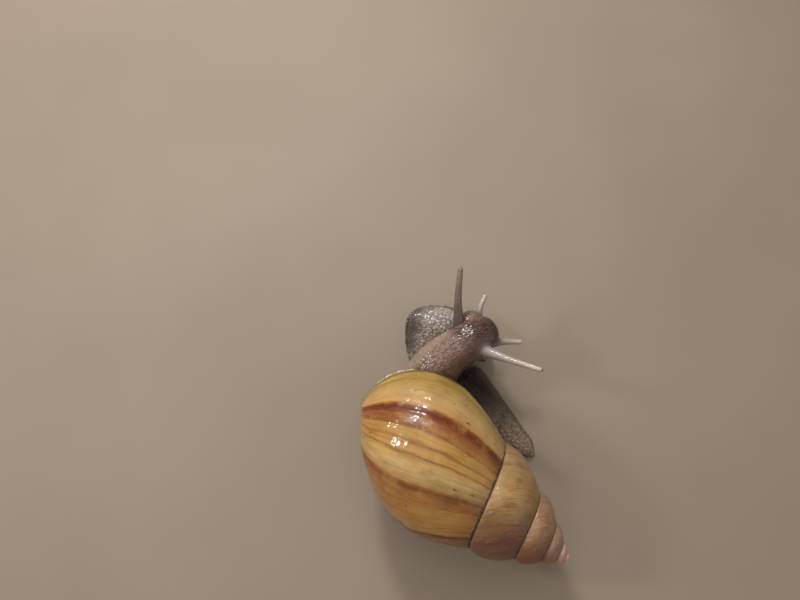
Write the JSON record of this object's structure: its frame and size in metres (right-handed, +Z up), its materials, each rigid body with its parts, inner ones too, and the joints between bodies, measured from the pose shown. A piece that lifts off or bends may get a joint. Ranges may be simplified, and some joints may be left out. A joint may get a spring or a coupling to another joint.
{
  "type": "giant african land snail",
  "caption": "Life-size still model of a crawling giant African land snail with its shell on its back, head raised and turned, and feelers out.",
  "frame": {"origin": "on the floor, under the middle of the whole snail's bounding box", "axes": "+X the way the rear foot crawls, with the shell's apex towards -X; +Y the snail's left; +Z up from the floor"},
  "size_m": [0.0812, 0.0708, 0.04],
  "materials": {
    "shell": "gloss",
    "mantle": "satin",
    "foot_skin": "satin",
    "head_skin": "satin",
    "feeler_skin": "satin",
    "eye": "gloss"
  },
  "bodies": {
    "root": {"shell": "shell", "mantle_collar": "mantle", "tail": "foot_skin", "foot_rear": "foot_skin", "foot_middle": "foot_skin", "foot_front": "foot_skin", "visceral_stalk": "foot_skin", "neck": "head_skin", "head": "head_skin", "lips": "head_skin", "feeler_upper_left_base": "feeler_skin", "feeler_upper_left_shaft": "feeler_skin", "feeler_upper_left_tip": "feeler_skin", "eye_left": "eye", "feeler_upper_right_base": "feeler_skin", "feeler_upper_right_shaft": "feeler_skin", "feeler_upper_right_tip": "feeler_skin", "eye_right": "eye", "feeler_lower_left_base": "feeler_skin", "feeler_lower_left_tip": "feeler_skin", "feeler_lower_right_base": "feeler_skin", "feeler_lower_right_tip": "feeler_skin"}
  },
  "joints": []
}
